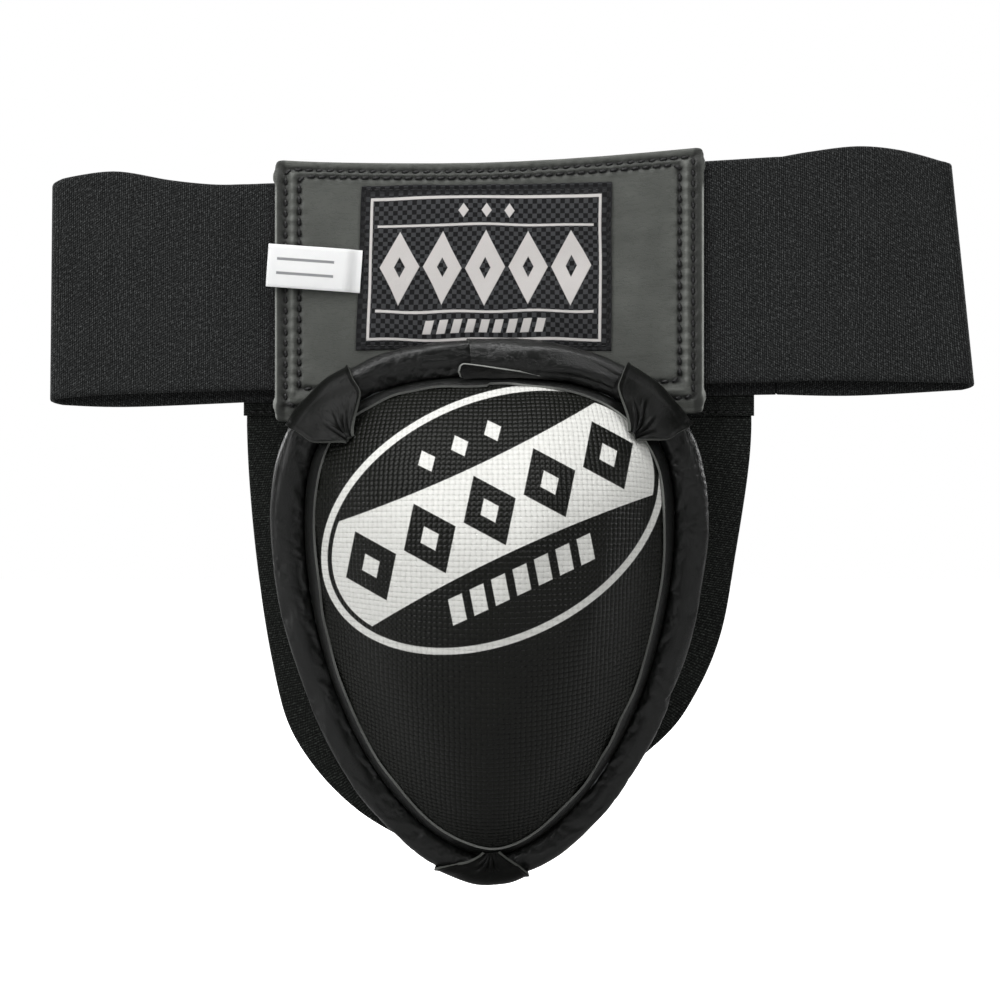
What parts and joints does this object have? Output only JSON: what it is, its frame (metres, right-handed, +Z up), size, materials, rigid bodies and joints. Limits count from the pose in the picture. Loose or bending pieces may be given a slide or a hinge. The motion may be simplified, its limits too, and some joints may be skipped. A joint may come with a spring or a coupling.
{
  "type": "groin protector",
  "caption": "Padded steel cup hung from the waist panel of a wide elastic waistband by leather loops, with elastic leg straps from the cup's foot to the back of the band.",
  "frame": {"origin": "middle of the waist panel's back face, which lies against the wearer", "axes": "+X to the right as the front is looked at, +Y from front to back towards the wearer, +Z up"},
  "size_m": [0.3392, 0.0734, 0.2719],
  "materials": {
    "panel_leather": "satin smooth charcoal leather",
    "panel_thread": "waxed black thread",
    "label_weave": "woven damask, black ground with a white figure",
    "tag_tape": "smooth white tape",
    "band_webbing": "matt ribbed elastic webbing",
    "strap_webbing": "matt ribbed elastic webbing",
    "cup_steel": "pressed sheet steel",
    "cover_leather": "embossed basket weave leather with a white print",
    "lining_leather": "soft matt lining",
    "rim_foam": "closed-cell foam",
    "roll_leather": "glossy creased black leather",
    "loop_leather": "gathered black leather"
  },
  "bodies": {
    "panel": {"waist_panel_back": "panel_leather", "waist_panel_front": "panel_leather", "panel_thread_outer": "panel_thread", "panel_thread_inner": "panel_thread", "woven_label": "label_weave", "label_thread": "panel_thread", "waistband_front": "band_webbing"},
    "left_wing": {"waistband_left_wing": "band_webbing"},
    "left_side": {"waistband_left_side": "band_webbing"},
    "back": {"waistband_back": "band_webbing"},
    "right_wing": {"waistband_right_wing": "band_webbing"},
    "right_side": {"waistband_right_side": "band_webbing"},
    "left_strap": {"left_leg_strap": "strap_webbing", "left_strap_thread": "panel_thread"},
    "right_strap": {"right_leg_strap": "strap_webbing", "right_strap_thread": "panel_thread"},
    "cup": {"steel_cup": "cup_steel", "cup_cover": "cover_leather", "cup_lining": "lining_leather", "rim_foam": "rim_foam", "rim_roll": "roll_leather", "rim_front_binding": "roll_leather", "rim_back_binding": "roll_leather", "top_overlap_wrap": "roll_leather", "left_loop": "loop_leather", "right_loop": "loop_leather", "bottom_tab": "loop_leather"},
    "tag": {"folded_tag": "tag_tape"}
  },
  "joints": [
    {"name": "waist_open", "type": "hinge", "parent": "panel", "child": "left_wing", "pos_m": [-0.09, -0.0029, 0], "axis": [0, 0, -1], "range_deg": [0, 60]},
    {"name": "left_fold", "type": "hinge", "parent": "left_wing", "child": "left_side", "pos_m": [-0.162, 0.0005, 0], "axis": [0, 0, 1], "range_deg": [0, 120]},
    {"name": "left_back_bend", "type": "hinge", "parent": "left_side", "child": "back", "pos_m": [-0.09, 0.0039, 0], "axis": [0, 0, -1], "range_deg": [0, 60]},
    {"name": "right_wing_bend", "type": "hinge", "parent": "panel", "child": "right_wing", "pos_m": [0.107, -0.0029, 0], "axis": [0, 0, 1], "range_deg": [0, 60]},
    {"name": "right_fold", "type": "hinge", "parent": "right_wing", "child": "right_side", "pos_m": [0.179, 0.0005, 0], "axis": [0, 0, -1], "range_deg": [0, 120]},
    {"name": "cup_swing", "type": "hinge", "parent": "panel", "child": "cup", "pos_m": [0, -0.0075, -0.046], "axis": [1, 0, 0], "range_deg": [0, 20.14]},
    {"name": "left_strap_swing", "type": "hinge", "parent": "back", "child": "left_strap", "pos_m": [-0.069, 0.0061, -0.041], "axis": [-1, 0, 0], "range_deg": [0, 23.43]},
    {"name": "right_strap_swing", "type": "hinge", "parent": "back", "child": "right_strap", "pos_m": [0.076, 0.0061, -0.041], "axis": [-1, 0, 0], "range_deg": [0, 23.43]},
    {"name": "tag_flap", "type": "hinge", "parent": "panel", "child": "tag", "pos_m": [-0.0488, -0.00795, 0.0067], "axis": [0.0699, 0, 0.9976], "range_deg": [0, 140]}
  ],
  "couplings": [
    {"joint": "left_fold", "follows": "waist_open", "ratio": 2},
    {"joint": "left_back_bend", "follows": "waist_open", "ratio": 1},
    {"joint": "right_wing_bend", "follows": "waist_open", "ratio": 1},
    {"joint": "right_fold", "follows": "waist_open", "ratio": 2},
    {"joint": "cup_swing", "follows": "waist_open", "ratio": 0.3356},
    {"joint": "left_strap_swing", "follows": "waist_open", "ratio": 0.3905},
    {"joint": "right_strap_swing", "follows": "waist_open", "ratio": 0.3905}
  ]
}
